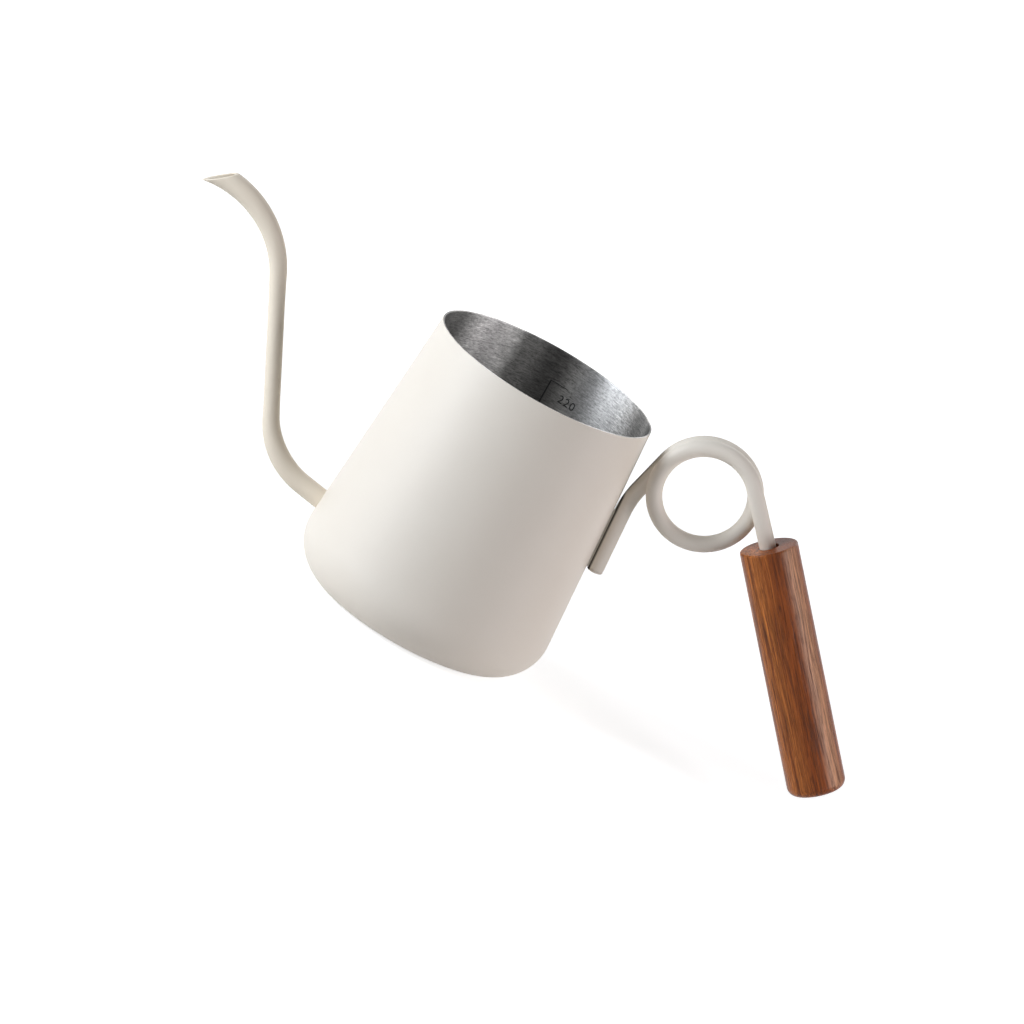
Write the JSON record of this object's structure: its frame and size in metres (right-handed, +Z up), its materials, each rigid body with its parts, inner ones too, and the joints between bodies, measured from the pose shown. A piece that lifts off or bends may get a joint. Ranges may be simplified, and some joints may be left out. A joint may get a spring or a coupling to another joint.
{
  "type": "gooseneck kettle",
  "caption": "Small open gooseneck pouring kettle: tapered cup with a thin curved spout low on one side, and a bent rod handle with a coil and a turned wooden grip on the other.",
  "frame": {"origin": "centre of the flat base, on the surface that the kettle stands on", "axes": "+Z up, the axis of the cup; +X towards the handle and -X towards the spout; +Y away from the graduation's viewer"},
  "size_m": [0.2207, 0.07, 0.0843],
  "materials": {
    "coat": "matte cream powder coat on stainless steel, fine orange peel",
    "steel": "brushed stainless steel",
    "wood": "oiled red-brown hardwood, satin, grain along the axis",
    "adhesive": "cured epoxy"
  },
  "bodies": {
    "root": {"body_shell": "coat", "spout_tube": "coat", "spout_weld": "steel", "handle_rod": "coat", "handle_weld": "coat", "wood_grip": "wood", "grip_adhesive": "adhesive"}
  },
  "joints": []
}
